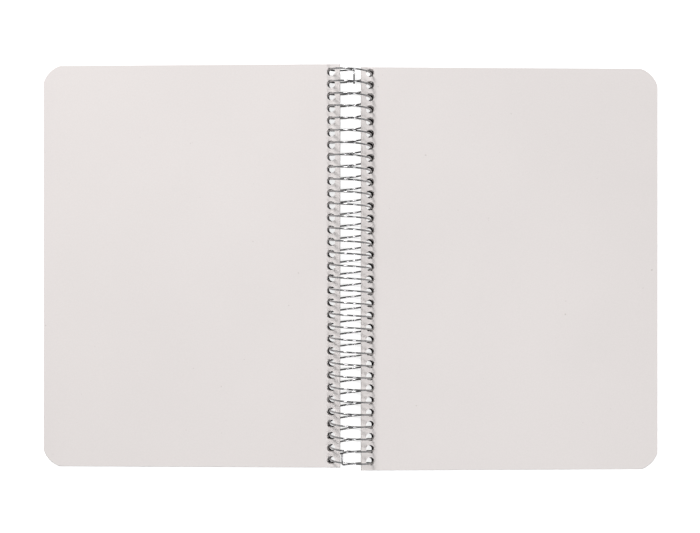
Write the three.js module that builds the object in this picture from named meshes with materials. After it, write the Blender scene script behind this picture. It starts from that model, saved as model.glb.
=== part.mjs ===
import * as THREE from "three";

// A spiral-bound sketchbook lying open near its middle.
// Millimetres, +Z up, the wire coil runs along Y, the two open halves lie along -X and +X.

// Binding
const HOLE_COUNT = 33;
const HOLE_PITCH = 6.35; // four holes to the inch
const HOLE_LIFT = 0.4; // the row of holes sits this much nearer the head than the tail
const HOLE_R = 2.25;
const HOLE_SIDES = 6;
const WIRE_R = 0.45;
const WIRE_SIDES = 6;
const COIL_R = 10.8; // centre line of the wire
const TURN_STEPS = 12;
const TURN_LEAN = 0.31; // how far each turn leans along Y at the coil's two sides
const WIRE_SHIFT = 1.28; // the wire crosses the page this far along Y from the mid line of a pair of holes
const FIRST_END_DEG = -93; // the wire starts under the coil, before the first left hole
const LAST_END_DEG = 287; // and ends under it, after the last right hole
const TAIL_BEND = 1.3;
const FIRST_TAIL = 6.6;
const LAST_TAIL = 5.2;
const TAIL_LIFT = 1.5;

// Sheets and boards
const SHEET_HEIGHT = 210.9;
const FORE_EDGE = 161.9; // distance of the leaves' fore edge from the coil's axis
const SPINE_EDGE = 5.6; // distance of every layer's spine edge from the coil's axis
const CORNER_CUT = 8.6; // how much of each edge a rounded corner takes
const CORNER_R = 13.5;
const CORNER_STEPS = 5;
const SIDE_STEP = 0.78; // the left half sits this much up along Y, the right half down
const HOLE_STEP = 0.4; // and its holes this much
const COVER_OVERHANG = 1.4; // at the fore edge
const COVER_END_OVERHANG = 0.8; // at the head and the tail
const LEAF = 0.2;
const SECTION = 0.8; // four sheets
const COVER = 1.2;
const GAP = 0.1;

// Layers of one half, from the open page down: name, thickness, hole distance from the coil's axis.
// The lower layers are drawn towards the spine, as they follow the round of the wire.
const LAYERS = [
  ...["leaf_1", "leaf_2", "leaf_3", "leaf_4", "leaf_5", "leaf_6"].map((name) => {
    return { name, thickness: LEAF, hole: 10.25 };
  }),
  { name: "section_inner", thickness: SECTION, hole: 10.2 },
  { name: "section_middle", thickness: SECTION, hole: 10.05 },
  { name: "section_outer", thickness: SECTION, hole: 9.8 },
  { name: "cover", thickness: COVER, hole: 9.45 },
];

// Resting height and slope: the coil and both covers' fore edges touch the table at z = 0.
const AXIS_Z = COIL_R + WIRE_R;
const STACK = LAYERS.reduce((sum, layer) => sum + layer.thickness + GAP, 0);
const COVER_REACH = FORE_EDGE + COVER_OVERHANG;
const SLOPE = Math.asin(AXIS_Z / Math.hypot(COVER_REACH, STACK)) - Math.atan2(STACK, COVER_REACH);

const PAPER = new THREE.MeshStandardMaterial({ color: 0xf2eeea, roughness: 0.9 });
const PAGE_BLOCK = new THREE.MeshStandardMaterial({ color: 0xe6e2dc, roughness: 0.95 });
const BOARD = new THREE.MeshStandardMaterial({ color: 0x45464a, roughness: 0.8 });
const STEEL = new THREE.MeshStandardMaterial({ color: 0xb9bcc0, roughness: 0.25, metalness: 1 });

function layerMaterial(layer) {
  if (layer.name === "cover") {
    return BOARD;
  }
  return layer.thickness === LEAF ? PAPER : PAGE_BLOCK;
}

function holeY(index) {
  return ((HOLE_COUNT - 1) / 2 - index) * HOLE_PITCH + HOLE_LIFT;
}

function holePath(x, y) {
  const reach = HOLE_R / Math.cos(Math.PI / HOLE_SIDES);
  const points = [];
  for (let i = 0; i < HOLE_SIDES; i += 1) {
    const angle = (2 * Math.PI * i) / HOLE_SIDES;
    points.push(new THREE.Vector2(x + reach * Math.cos(angle), y + reach * Math.sin(angle)));
  }
  return new THREE.Path(points);
}

// A fore-edge corner, from the fore edge round to the head (end 1) or the tail (end -1).
// The rounding cutter's radius is larger than the cut, so the arc meets both edges at a slight angle.
function cornerPoints(side, end, outer, halfHeight) {
  const reach = (CORNER_CUT + Math.sqrt(2 * CORNER_R ** 2 - CORNER_CUT ** 2)) / 2;
  const start = Math.atan2(reach - CORNER_CUT, reach);
  const points = [];
  for (let i = 0; i <= CORNER_STEPS; i += 1) {
    const angle = start + ((Math.PI / 2 - 2 * start) * i) / CORNER_STEPS;
    const x = outer - reach + CORNER_R * Math.cos(angle);
    const y = halfHeight - reach + CORNER_R * Math.sin(angle);
    points.push(new THREE.Vector2(side * x, end * y));
  }
  return points;
}

// One half's outline: square corners at the spine, round ones at the fore edge.
function outlinePoints(side, outer, halfHeight) {
  return [
    new THREE.Vector2(side * SPINE_EDGE, -halfHeight),
    ...cornerPoints(side, -1, outer, halfHeight).reverse(),
    ...cornerPoints(side, 1, outer, halfHeight),
    new THREE.Vector2(side * SPINE_EDGE, halfHeight),
  ];
}

function layerGeometry(side, layer) {
  const isCover = layer.name === "cover";
  const outer = isCover ? COVER_REACH : FORE_EDGE;
  const halfHeight = SHEET_HEIGHT / 2 + (isCover ? COVER_END_OVERHANG : 0);
  const shape = new THREE.Shape(outlinePoints(side, outer, halfHeight));
  for (let index = 0; index < HOLE_COUNT; index += 1) {
    const y = holeY(index) + side * (SIDE_STEP - HOLE_STEP);
    shape.holes.push(holePath(side * layer.hole, y));
  }
  return new THREE.ExtrudeGeometry(shape, { depth: layer.thickness, bevelEnabled: false });
}

function layerName(side, layer) {
  if (layer.name === "cover") {
    return side < 0 ? "front_cover" : "back_cover";
  }
  return `${side < 0 ? "left" : "right"}_${layer.name}`;
}

// One open half, hung on the coil's axis and sloping down to the table.
function half(side) {
  const group = new THREE.Group();
  group.position.set(0, -side * SIDE_STEP, AXIS_Z);
  group.rotation.y = side * SLOPE;
  let top = 0;
  for (const layer of LAYERS) {
    top -= GAP;
    const mesh = new THREE.Mesh(layerGeometry(side, layer), layerMaterial(layer));
    mesh.name = layerName(side, layer);
    mesh.position.z = top - layer.thickness;
    group.add(mesh);
    top -= layer.thickness;
  }
  return group;
}

// A point on the wire: 0 degrees at the first left hole, 90 over the top, 180 at the first right one.
function coilPoint(degrees) {
  const angle = THREE.MathUtils.degToRad(degrees);
  const x = -COIL_R * Math.cos(angle);
  const drop = (HOLE_PITCH * degrees) / 360;
  const lean = TURN_LEAN * (1 - Math.cos(angle));
  return new THREE.Vector3(x, holeY(0) + WIRE_SHIFT - drop + lean, AXIS_Z + COIL_R * Math.sin(angle));
}

// The wire's cut end: a short bend, then a straight run along Y over the neighbouring turn.
function tailPoints(degrees, outward, runY, length) {
  const end = coilPoint(degrees);
  const before = coilPoint(degrees - 5 * outward);
  const ahead = end.clone().sub(before).setLength(TAIL_BEND);
  const corner = end.clone().add(ahead);
  const leave = corner.clone().add(new THREE.Vector3(0, runY * TAIL_BEND, TAIL_LIFT * 0.8));
  const bend = new THREE.QuadraticBezierCurve3(end, corner, leave).getPoints(5);
  const tip = leave.clone().add(new THREE.Vector3(0, runY * length, TAIL_LIFT * 0.2));
  return [...bend, tip];
}

function wirePoints() {
  const points = tailPoints(FIRST_END_DEG, -1, -1, FIRST_TAIL).reverse();
  const lastTurn = (HOLE_COUNT - 1) * 360;
  const step = 360 / TURN_STEPS;
  for (let degrees = -90; degrees <= lastTurn + 270; degrees += step) {
    points.push(coilPoint(degrees));
  }
  points.push(...tailPoints(lastTurn + LAST_END_DEG, 1, 1, LAST_TAIL));
  return points;
}

// Straight steps from point to point, so that every given point is a ring of the wire.
class StepCurve extends THREE.Curve {
  constructor(points) {
    super();
    this.points = points;
  }

  getPoint(t, target = new THREE.Vector3()) {
    const place = THREE.MathUtils.clamp(t, 0, 1) * (this.points.length - 1);
    const index = Math.min(Math.floor(place), this.points.length - 2);
    return target.lerpVectors(this.points[index], this.points[index + 1], place - index);
  }

  getPointAt(u, target) {
    return this.getPoint(u, target);
  }

  getTangentAt(u, target = new THREE.Vector3()) {
    const delta = 0.01 / (this.points.length - 1);
    const ahead = this.getPoint(u + delta);
    return target.copy(ahead).sub(this.getPoint(u - delta)).normalize();
  }
}

function wireSection() {
  const points = [];
  for (let i = 0; i < WIRE_SIDES; i += 1) {
    const angle = (2 * Math.PI * i) / WIRE_SIDES;
    points.push(new THREE.Vector2(WIRE_R * Math.cos(angle), WIRE_R * Math.sin(angle)));
  }
  return new THREE.Shape(points);
}

function wireCoil() {
  const points = wirePoints();
  const geometry = new THREE.ExtrudeGeometry(wireSection(), {
    steps: points.length - 1,
    extrudePath: new StepCurve(points),
    bevelEnabled: false,
  });
  const mesh = new THREE.Mesh(geometry, STEEL);
  mesh.name = "wire_coil";
  return mesh;
}

const sketchbook = new THREE.Group();
sketchbook.name = "sketchbook";
sketchbook.add(half(-1), half(1), wireCoil());

export default sketchbook;
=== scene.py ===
import math
import random

import bpy
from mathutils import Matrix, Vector
from mathutils.geometry import tessellate_polygon


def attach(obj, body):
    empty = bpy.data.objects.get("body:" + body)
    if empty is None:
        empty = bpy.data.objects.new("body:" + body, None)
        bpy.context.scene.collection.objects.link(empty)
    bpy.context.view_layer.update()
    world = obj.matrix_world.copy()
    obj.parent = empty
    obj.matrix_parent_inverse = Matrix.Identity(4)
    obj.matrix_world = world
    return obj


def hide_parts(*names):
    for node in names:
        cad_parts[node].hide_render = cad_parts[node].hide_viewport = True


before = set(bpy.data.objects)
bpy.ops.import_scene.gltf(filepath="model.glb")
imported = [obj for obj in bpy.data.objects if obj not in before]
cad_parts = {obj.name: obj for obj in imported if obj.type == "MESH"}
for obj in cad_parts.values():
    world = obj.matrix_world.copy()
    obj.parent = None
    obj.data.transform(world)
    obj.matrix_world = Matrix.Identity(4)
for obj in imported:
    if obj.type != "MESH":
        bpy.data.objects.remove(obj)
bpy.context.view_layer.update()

MM = 0.001

# ---------------------------------------------------------------- sizes, in millimetres
HOLE_COUNT = 33
HOLE_PITCH = 6.35
HOLE_LIFT = 0.4
COIL_R = 10.8
WIRE_R = 0.45
TURN_LEAN = 0.31
WIRE_SHIFT = 1.28
FIRST_END_DEG = -93
LAST_END_DEG = 287
TAIL_BEND = 1.3
FIRST_TAIL = 6.6
LAST_TAIL = 5.2
TAIL_LIFT = 1.5
SHEET_HEIGHT = 210.9
FORE_EDGE = 161.9
SPINE_EDGE = 5.6
CORNER_CUT = 8.6
CORNER_R = 13.5
SIDE_STEP = 0.78
COVER_OVERHANG = 1.4
COVER_END_OVERHANG = 0.8
LEAF = 0.2
LEAF_COUNT = 6
SECTION = 0.8
SECTION_NAMES = ("inner", "middle", "outer")
SECTION_SHEETS = 4
COVER = 1.2
GAP = 0.1

AXIS_Z = COIL_R + WIRE_R
STACK = LEAF_COUNT * (LEAF + GAP) + len(SECTION_NAMES) * (SECTION + GAP) + COVER + GAP
COVER_REACH = FORE_EDGE + COVER_OVERHANG
SLOPE = math.asin(AXIS_Z / math.hypot(COVER_REACH, STACK)) - math.atan2(STACK, COVER_REACH)
WHOLE_SHEET_HOLE = 10.3  # hole distance from the coil's axis, in the upper leaves
LAST_SHEET_HOLE = 9.75  # and in the sheet above the cover
LEAF_HOLE_R = 2.15
LEAF_HOLE_STEP = 0.3  # holes sit this far up the coil in the left half, and down it in the right half
COVER_HOLE = 9.45
FRONT_COVER_HOLE_R = 2.0
FRONT_COVER_HOLE_STEP = 0.6
BACK_COVER_HOLE_R = 1.85
BACK_COVER_HOLE_STEP = 0.75


# ---------------------------------------------------------------- camera and light
def make_camera():
    data = bpy.data.cameras.new("camera")
    camera = bpy.data.objects.new("camera", data)
    bpy.context.collection.objects.link(camera)
    camera.location = (-0.3 * MM, -11.9 * MM, (AXIS_Z + 620) * MM)
    data.sensor_width = 36
    data.lens = 61.0
    data.shift_y = 0.0336
    data.clip_start = 0.01
    data.clip_end = 100
    bpy.context.scene.camera = camera


def area_light(name, place, target, size, watts, colour):
    data = bpy.data.lights.new(name, "AREA")
    data.shape = "DISK"
    data.size = size
    data.energy = watts
    data.color = colour
    lamp = bpy.data.objects.new(name, data)
    lamp.location = place
    aim = Vector(target) - Vector(place)
    lamp.rotation_euler = aim.to_track_quat("-Z", "Y").to_euler()
    lamp.visible_camera = False
    bpy.context.collection.objects.link(lamp)


def make_world():
    world = bpy.data.worlds.new("studio")
    world.use_nodes = True
    bpy.context.scene.world = world
    nodes, links = world.node_tree.nodes, world.node_tree.links
    nodes.clear()
    out = nodes.new("ShaderNodeOutputWorld")
    back = nodes.new("ShaderNodeBackground")
    ramp = nodes.new("ShaderNodeValToRGB")
    split = nodes.new("ShaderNodeSeparateXYZ")
    place = nodes.new("ShaderNodeTexCoord")
    links.new(place.outputs["Generated"], split.inputs[0])
    links.new(split.outputs["Z"], ramp.inputs[0])
    links.new(ramp.outputs[0], back.inputs["Color"])
    links.new(back.outputs[0], out.inputs[0])
    elements = ramp.color_ramp.elements
    elements[0].position, elements[0].color = 0.0, (1.25, 1.25, 1.25, 1)
    elements[1].position, elements[1].color = 1.0, (0.07, 0.07, 0.075, 1)
    for position, grey in ((0.04, 1.25), (0.12, 0.88), (0.3, 0.85), (0.5, 0.16), (0.75, 0.07)):
        element = elements.new(position)
        element.color = (grey, grey, grey, 1)
    back.inputs["Strength"].default_value = 0.8


def make_floor():
    size = 6.0
    mesh = bpy.data.meshes.new("floor")
    corners = [(-size, -size, 0), (size, -size, 0), (size, size, 0), (-size, size, 0)]
    mesh.from_pydata(corners, [], [(0, 1, 2, 3)])
    floor = bpy.data.objects.new("floor", mesh)
    floor.location.z = -0.0004
    bpy.context.collection.objects.link(floor)
    material = bpy.data.materials.new("floor_white")
    material.use_nodes = True
    nodes, links = material.node_tree.nodes, material.node_tree.links
    nodes.clear()
    out = nodes.new("ShaderNodeOutputMaterial")
    matt = nodes.new("ShaderNodeBsdfDiffuse")
    matt.inputs["Color"].default_value = (0.6, 0.6, 0.6, 1)
    glow = nodes.new("ShaderNodeEmission")
    path = nodes.new("ShaderNodeLightPath")
    level = nodes.new("ShaderNodeMapRange")
    level.inputs["To Min"].default_value = 0.0
    level.inputs["To Max"].default_value = 0.84
    both = nodes.new("ShaderNodeAddShader")
    links.new(path.outputs["Is Camera Ray"], level.inputs["Value"])
    links.new(level.outputs["Result"], glow.inputs["Strength"])
    links.new(matt.outputs[0], both.inputs[0])
    links.new(glow.outputs[0], both.inputs[1])
    links.new(both.outputs[0], out.inputs[0])
    mesh.materials.append(material)


# ---------------------------------------------------------------- materials
class Shader:
    """One Principled material with short calls for its nodes."""

    def __init__(self, name, colour, roughness, metallic=0.0):
        self.material = bpy.data.materials.new(name)
        self.material.use_nodes = True
        self.nodes = self.material.node_tree.nodes
        self.links = self.material.node_tree.links
        self.main = self.nodes["Principled BSDF"]
        self.main.inputs["Base Color"].default_value = (*colour, 1)
        self.main.inputs["Roughness"].default_value = roughness
        self.main.inputs["Metallic"].default_value = metallic
        self.coords = self.nodes.new("ShaderNodeTexCoord").outputs["Object"]

    def noise(self, scale, detail=2.0, roughness=0.5, stretch=None):
        node = self.nodes.new("ShaderNodeTexNoise")
        node.inputs["Scale"].default_value = scale
        node.inputs["Detail"].default_value = detail
        node.inputs["Roughness"].default_value = roughness
        source = self.coords
        if stretch:
            mapping = self.nodes.new("ShaderNodeMapping")
            mapping.inputs["Scale"].default_value = stretch
            self.links.new(source, mapping.inputs["Vector"])
            source = mapping.outputs["Vector"]
        self.links.new(source, node.inputs["Vector"])
        return node.outputs["Fac"]

    def ramp(self, value, stops):
        node = self.nodes.new("ShaderNodeValToRGB")
        elements = node.color_ramp.elements
        while len(elements) < len(stops):
            elements.new(0.5)
        for element, (position, colour) in zip(elements, stops):
            element.position = position
            element.color = (*colour, 1)
        self.links.new(value, node.inputs["Fac"])
        return node.outputs["Color"]

    def spread(self, value, low, high, to_low, to_high):
        node = self.nodes.new("ShaderNodeMapRange")
        for name, number in zip(
            ("From Min", "From Max", "To Min", "To Max"), (low, high, to_low, to_high)
        ):
            node.inputs[name].default_value = number
        self.links.new(value, node.inputs["Value"])
        return node.outputs["Result"]

    def multiply(self, first, second):
        node = self.nodes.new("ShaderNodeMix")
        node.data_type = "RGBA"
        node.blend_type = "MULTIPLY"
        node.inputs["Factor"].default_value = 1
        self.links.new(first, node.inputs[6])
        self.links.new(second, node.inputs[7])
        return node.outputs[2]

    def add(self, first, second):
        node = self.nodes.new("ShaderNodeMath")
        node.operation = "ADD"
        self.links.new(first, node.inputs[0])
        self.links.new(second, node.inputs[1])
        return node.outputs[0]

    def bump(self, value, strength, distance_mm):
        node = self.nodes.new("ShaderNodeBump")
        node.inputs["Strength"].default_value = strength
        node.inputs["Distance"].default_value = distance_mm * MM
        self.links.new(value, node.inputs["Height"])
        self.links.new(node.outputs["Normal"], self.main.inputs["Normal"])

    def colour(self, value):
        self.links.new(value, self.main.inputs["Base Color"])

    def roughness(self, value):
        self.links.new(value, self.main.inputs["Roughness"])


def paper_material(name, tone, mottle):
    shader = Shader(name, tone, 0.85)
    shader.main.inputs["Specular IOR Level"].default_value = 0.25
    light = tuple(min(1.0, c * (1 + mottle)) for c in tone)
    dark = tuple(c * (1 - mottle) for c in tone)
    clouds = shader.ramp(shader.noise(14, 3), [(0.3, dark), (0.7, light)])
    fibres = shader.noise(1400, 3, 0.65)
    grain = shader.ramp(fibres, [(0.25, (0.965, 0.965, 0.965)), (0.7, (1, 1, 1))])
    specks = shader.ramp(
        shader.noise(420, 1, 0.4), [(0.13, (0.72, 0.70, 0.68)), (0.2, (1, 1, 1))]
    )
    shader.colour(shader.multiply(shader.multiply(clouds, grain), specks))
    shader.bump(shader.add(fibres, shader.noise(380, 2)), 0.35, 0.03)
    return shader.material


def board_material():
    shader = Shader("cover_board", (0.018, 0.018, 0.02), 0.62)
    shader.main.inputs["Specular IOR Level"].default_value = 0.3
    weave = shader.add(
        shader.noise(900, 2, 0.6, (1, 0.22, 1)), shader.noise(900, 2, 0.6, (0.22, 1, 1))
    )
    tone = shader.ramp(
        shader.spread(weave, 0.6, 1.4, 0, 1),
        [(0.2, (0.007, 0.007, 0.008)), (0.8, (0.026, 0.026, 0.029))],
    )
    rubbed = shader.ramp(shader.noise(55, 5, 0.7), [(0.62, (1, 1, 1)), (0.8, (1.9, 1.85, 1.8))])
    shader.colour(shader.multiply(tone, rubbed))
    shader.roughness(shader.spread(shader.noise(30, 3), 0.3, 0.7, 0.59, 0.65))
    shader.bump(weave, 0.6, 0.05)
    return shader.material


def board_edge_material():
    shader = Shader("cover_board_edge", (0.05, 0.048, 0.046), 0.9)
    plies = shader.noise(160, 3, 0.6, (1, 1, 14))
    shader.colour(
        shader.ramp(plies, [(0.3, (0.028, 0.027, 0.026)), (0.75, (0.10, 0.095, 0.09))])
    )
    shader.bump(plies, 0.5, 0.06)
    return shader.material


def steel_material():
    shader = Shader("steel_wire", (0.37, 0.37, 0.375), 0.2, 1.0)
    draw = shader.noise(260, 3, 0.6)
    shader.colour(
        shader.ramp(draw, [(0.3, (0.28, 0.28, 0.285)), (0.7, (0.46, 0.46, 0.465))])
    )
    shader.roughness(shader.spread(shader.noise(700, 2), 0.3, 0.7, 0.12, 0.26))
    shader.bump(shader.noise(1500, 2), 0.15, 0.01)
    return shader.material


# ---------------------------------------------------------------- mesh helpers
def hole_y(index):
    return ((HOLE_COUNT - 1) / 2 - index) * HOLE_PITCH + HOLE_LIFT


def add_object(name, points, faces, materials, indices=None, smooth=False):
    mesh = bpy.data.meshes.new(name)
    mesh.from_pydata([[c * MM for c in point] for point in points], [], faces)
    for material in materials:
        mesh.materials.append(material)
    if indices:
        mesh.polygons.foreach_set("material_index", indices)
    mesh.polygons.foreach_set("use_smooth", [smooth] * len(mesh.polygons))
    mesh.validate()
    mesh.update()
    piece = bpy.data.objects.new(name, mesh)
    bpy.context.collection.objects.link(piece)
    return piece


class Plate:
    """A punched sheet or board of one half, in that half's own axes.

    There +x runs away from the coil and z = 0 is at its axis.
    """

    def __init__(self, hole_x, hole_shift, outer, half_height, hole_r, hole_sides, corner_steps):
        self.hole_x = hole_x
        self.hole_shift = hole_shift
        self.outer = outer
        self.half_height = half_height
        self.hole_r = hole_r
        self.hole_sides = hole_sides
        self.corner_steps = corner_steps
        self.shift = (0.0, 0.0)

    def corner(self, end, inset):
        """Points of one rounded fore-edge corner, from the fore edge round to the head or tail."""
        reach = (CORNER_CUT + math.sqrt(2 * CORNER_R**2 - CORNER_CUT**2)) / 2
        start = math.atan2(reach - CORNER_CUT, reach)
        radius = CORNER_R - inset
        centre = (self.outer - reach, self.half_height - reach)
        points = []
        for i in range(self.corner_steps + 1):
            angle = start + (math.pi / 2 - 2 * start) * i / self.corner_steps
            x = min(centre[0] + radius * math.cos(angle), self.outer - inset)
            y = min(centre[1] + radius * math.sin(angle), self.half_height - inset)
            points.append((x, end * y))
        return points

    def loops(self, inset):
        """The outline and then the holes, drawn in by inset (holes are widened by it)."""
        outline = [(SPINE_EDGE + inset, -self.half_height + inset)]
        outline += list(reversed(self.corner(-1, inset)))
        outline += self.corner(1, inset)
        outline.append((SPINE_EDGE + inset, self.half_height - inset))
        result = [outline]
        radius = self.hole_r + inset
        for index in range(HOLE_COUNT):
            ring = []
            for i in range(self.hole_sides):
                angle = 2 * math.pi * i / self.hole_sides
                x = self.hole_x + radius * math.cos(angle)
                ring.append((x, hole_y(index) + self.hole_shift + radius * math.sin(angle)))
            result.append(ring)
        return result

    def build(self, profile):
        """Points and faces for a profile of (z, inset), top face first, and where the wall faces start."""
        rings = [self.loops(inset) for _, inset in profile]
        points, offsets = [], []
        for (z, _), loops in zip(profile, rings):
            offsets.append(len(points))
            for loop in loops:
                points += [(x + self.shift[0], y + self.shift[1], z) for x, y in loop]
        cap = tessellate_polygon([[Vector((x, y, 0)) for x, y in loop] for loop in rings[0]])
        faces = []
        for a, b, c in cap:
            faces.append((a, b, c) if turns_left(points, a, b, c) else (a, c, b))
        top_count = len(faces)
        last = offsets[-1]
        faces += [tuple(last + i for i in reversed(face)) for face in faces[:top_count]]
        for above, below in zip(offsets, offsets[1:]):
            start = 0
            for number, loop in enumerate(rings[0]):
                for i in range(len(loop)):
                    j = (i + 1) % len(loop)
                    quad = (above + start + i, above + start + j, below + start + j, below + start + i)
                    faces.append(quad if number else quad[::-1])
                start += len(loop)
        return points, faces, 2 * top_count


def turns_left(points, a, b, c):
    (ax, ay, _), (bx, by, _), (cx, cy, _) = points[a], points[b], points[c]
    return (bx - ax) * (cy - ay) - (by - ay) * (cx - ax) > 0


def place(points, faces, side):
    """Takes a half's own points to the book: mirrored for the left half, sloped, lifted to the axis."""
    angle = side * SLOPE
    placed = []
    for x, y, z in points:
        x = side * x
        placed.append(
            (
                x * math.cos(angle) + z * math.sin(angle),
                y - side * SIDE_STEP,
                -x * math.sin(angle) + z * math.cos(angle) + AXIS_Z,
            )
        )
    if side < 0:
        faces = [tuple(reversed(face)) for face in faces]
    return placed, faces


# ---------------------------------------------------------------- pieces
def side_name(side):
    return "left" if side < 0 else "right"


def finish_piece(piece, node, body):
    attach(piece, body)
    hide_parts(node)


def sheet_hole(depth):
    """Hole distance from the coil's axis for a sheet this far down: it follows the round of the wire."""
    bottom = STACK - COVER - GAP
    return WHOLE_SHEET_HOLE + (LAST_SHEET_HOLE - WHOLE_SHEET_HOLE) * (depth / bottom) ** 2


def make_leaf(number, side, top, material):
    label = f"{side_name(side)}_leaf_{number}"
    shift = side * (SIDE_STEP - LEAF_HOLE_STEP)
    plate = Plate(sheet_hole(-top), shift, FORE_EDGE, SHEET_HEIGHT / 2, LEAF_HOLE_R, 28, 14)
    points, faces, _ = plate.build([(top, 0), (top - LEAF, 0)])
    piece = add_object(label, *place(points, faces, side), [material])
    finish_piece(piece, label, f"{side_name(side)}_page_{number}")


def make_section(name, side, top, material, shuffle):
    """The section as its single sheets, each a little out of true."""
    label = f"{side_name(side)}_section_{name}"
    pitch = SECTION / SECTION_SHEETS
    shift = side * (SIDE_STEP - LEAF_HOLE_STEP)
    all_points, all_faces = [], []
    for i in range(SECTION_SHEETS):
        z = top - i * pitch
        plate = Plate(sheet_hole(-z), shift, FORE_EDGE, SHEET_HEIGHT / 2, LEAF_HOLE_R, 16, 8)
        plate.outer -= 0.05 + 0.1 * shuffle.random()
        plate.shift = (0, 0.16 * (shuffle.random() - 0.5))
        points, faces, _ = plate.build([(z, 0), (z - pitch + 0.018, 0)])
        points, faces = place(points, faces, side)
        start = len(all_points)
        all_points += points
        all_faces += [tuple(start + v for v in face) for face in faces]
    piece = add_object(label, all_points, all_faces, [material])
    finish_piece(piece, label, f"{side_name(side)}_{name}_sheets")


def make_cover(name, body, side, top, hole_r, hole_step, board, edge):
    half_height = SHEET_HEIGHT / 2 + COVER_END_OVERHANG
    shift = side * (SIDE_STEP - hole_step)
    plate = Plate(COVER_HOLE, shift, COVER_REACH, half_height, hole_r, 24, 14)
    bottom = top - COVER
    profile = [
        (top, 0.22), (top - 0.05, 0.09), (top - 0.14, 0.02), (top - 0.26, 0),
        (bottom + 0.26, 0), (bottom + 0.14, 0.02), (bottom + 0.05, 0.09), (bottom, 0.22),
    ]
    points, faces, walls = plate.build(profile)
    per_ring = (len(faces) - walls) // (len(profile) - 1)
    indices = [0] * walls
    for ring in range(len(profile) - 1):
        indices += [1 if ring == 3 else 0] * per_ring
    piece = add_object(name, *place(points, faces, side), [board, edge], indices)
    finish_piece(piece, name, body)


def make_half(side, paper, shaded_block_paper, board, edge):
    """All layers of one open half, from the open page down to the cover."""
    shuffle = random.Random(7 if side < 0 else 8)
    top = -GAP
    for number in range(1, LEAF_COUNT + 1):
        make_leaf(number, side, top, paper)
        top -= LEAF + GAP
    for name in SECTION_NAMES:
        # the section sheets take the darker copy of the page paper, which is painted shade
        make_section(name, side, top, shaded_block_paper, shuffle)
        top -= SECTION + GAP
    if side < 0:
        hole = (FRONT_COVER_HOLE_R, FRONT_COVER_HOLE_STEP)
        make_cover("front_cover", "front_board", side, top, *hole, board, edge)
    else:
        hole = (BACK_COVER_HOLE_R, BACK_COVER_HOLE_STEP)
        make_cover("back_cover", "back_board", side, top, *hole, board, edge)


def coil_point(degrees):
    angle = math.radians(degrees)
    x = -COIL_R * math.cos(angle)
    y = hole_y(0) + WIRE_SHIFT - HOLE_PITCH * degrees / 360 + TURN_LEAN * (1 - math.cos(angle))
    return Vector((x, y, AXIS_Z + COIL_R * math.sin(angle)))


def tail_points(degrees, outward, run_y, length):
    end = coil_point(degrees)
    ahead = (end - coil_point(degrees - 5 * outward)).normalized() * TAIL_BEND
    corner = end + ahead
    leave = corner + Vector((0, run_y * TAIL_BEND, TAIL_LIFT * 0.8))
    points = []
    for i in range(13):
        t = i / 12
        points.append(end * (1 - t) ** 2 + corner * 2 * t * (1 - t) + leave * t * t)
    tip = leave + Vector((0, run_y * length, TAIL_LIFT * 0.2))
    points += [leave.lerp(tip, t) for t in (0.3, 0.6, 0.9, 1.0)]
    return points


def wire_points(steps_per_turn):
    points = tail_points(FIRST_END_DEG, -1, -1, FIRST_TAIL)[::-1]
    last_turn = (HOLE_COUNT - 1) * 360
    step = 360 / steps_per_turn
    count = int((last_turn + LAST_END_DEG + 90 - 3) / step)
    points += [coil_point(-90 + i * step) for i in range(count + 1)]
    points += tail_points(last_turn + LAST_END_DEG, 1, 1, LAST_TAIL)
    return points


def tube(path, radius, sides):
    """A round wire along a path, its cut ends slightly chamfered."""
    tangents = []
    for i in range(len(path)):
        ahead, behind = path[min(i + 1, len(path) - 1)], path[max(i - 1, 0)]
        tangents.append((ahead - behind).normalized())
    normal = tangents[0].orthogonal().normalized()
    stations = [(path[0], tangents[0], 0.72), (path[0] + tangents[0] * 0.12, tangents[0], 1.0)]
    stations += [(p, t, 1.0) for p, t in zip(path[1:-1], tangents[1:-1])]
    stations += [(path[-1] - tangents[-1] * 0.12, tangents[-1], 1.0), (path[-1], tangents[-1], 0.72)]
    points, faces = [], []
    for centre, tangent, scale in stations:
        normal = (normal - tangent * normal.dot(tangent)).normalized()
        across = tangent.cross(normal)
        for k in range(sides):
            angle = 2 * math.pi * k / sides
            points.append(centre + (normal * math.cos(angle) + across * math.sin(angle)) * radius * scale)
    for i in range(len(stations) - 1):
        for k in range(sides):
            n = (k + 1) % sides
            faces.append((i * sides + k, i * sides + n, (i + 1) * sides + n, (i + 1) * sides + k))
    last = (len(stations) - 1) * sides
    faces.append(tuple(range(sides))[::-1])
    faces.append(tuple(last + k for k in range(sides)))
    return [tuple(p) for p in points], faces


def make_wire(material):
    points, faces = tube(wire_points(40), WIRE_R, 12)
    piece = add_object("spiral_wire", points, faces, [material], smooth=True)
    finish_piece(piece, "wire_coil", "back_board")


# ---------------------------------------------------------------- the book
make_camera()
make_world()
make_floor()
area_light("key", (-0.55, 0.85, 1.05), (0, 0, 0), 0.45, 13.5, (1, 0.985, 0.975))
area_light("fill", (0.32, -0.4, 0.9), (0, 0, 0), 0.3, 3.6, (1, 1, 1))

paper = paper_material("page_paper", (0.867, 0.825, 0.814), 0.012)
# the sheets under the open leaves are the same paper as the pages, painted darker: painted shade for the
# stack edges and hole walls that lie in shadow
shaded_block_paper = paper_material("painted_shade_block_paper", (0.80, 0.77, 0.755), 0.02)
board = board_material()
board_edge = board_edge_material()
steel = steel_material()

make_half(-1, paper, shaded_block_paper, board, board_edge)
make_half(1, paper, shaded_block_paper, board, board_edge)
make_wire(steel)

bpy.context.scene.view_settings.view_transform = "Standard"
bpy.context.scene.view_settings.look = "None"
